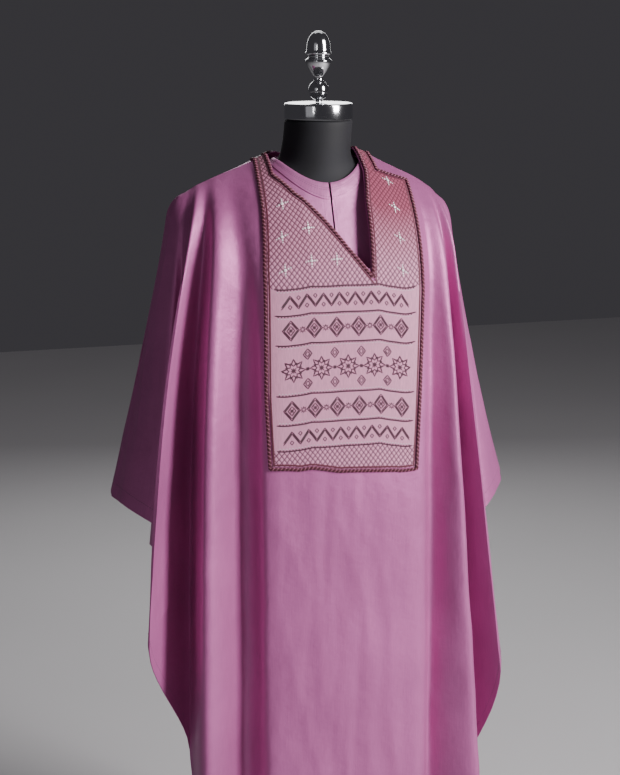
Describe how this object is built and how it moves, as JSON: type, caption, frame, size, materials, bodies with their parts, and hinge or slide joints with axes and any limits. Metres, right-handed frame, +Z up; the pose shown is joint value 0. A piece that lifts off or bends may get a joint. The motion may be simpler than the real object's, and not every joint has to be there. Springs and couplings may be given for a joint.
{
  "type": "agbada robe set on a dress form",
  "caption": "Wide open-sided robe with an embroidered front panel over a round-necked kaftan, on a limbless dress form with a pole stand.",
  "frame": {"origin": "middle of the stand's underside, on the floor", "axes": "+Z up, the front faces -Y, +X is the wearer's left"},
  "size_m": [0.7378, 0.36, 1.7126],
  "materials": {
    "robe_cloth": "mauve pink cloth with a soft satin sheen",
    "kaftan_cloth": "mauve pink cloth with a soft satin sheen",
    "panel_cloth": "pale pink ground covered with plum counted-stitch embroidery",
    "cord_thread": "twisted maroon thread with pale pink strands",
    "form_cover": "matt black cover",
    "chrome": "polished",
    "stand_paint": "satin black"
  },
  "bodies": {
    "root": {"robe_front": "robe_cloth", "robe_back": "robe_cloth", "robe_panel": "panel_cloth", "robe_back_band": "panel_cloth", "robe_panel_cord": "cord_thread", "robe_neck_cord": "cord_thread", "kaftan_front": "kaftan_cloth", "kaftan_back": "kaftan_cloth", "kaftan_neck_band": "kaftan_cloth", "kaftan_sleeve_left": "kaftan_cloth", "kaftan_sleeve_right": "kaftan_cloth", "form_torso": "form_cover", "form_neck_cap": "chrome", "form_finial": "chrome", "form_pole": "stand_paint", "form_base": "stand_paint"}
  },
  "joints": []
}
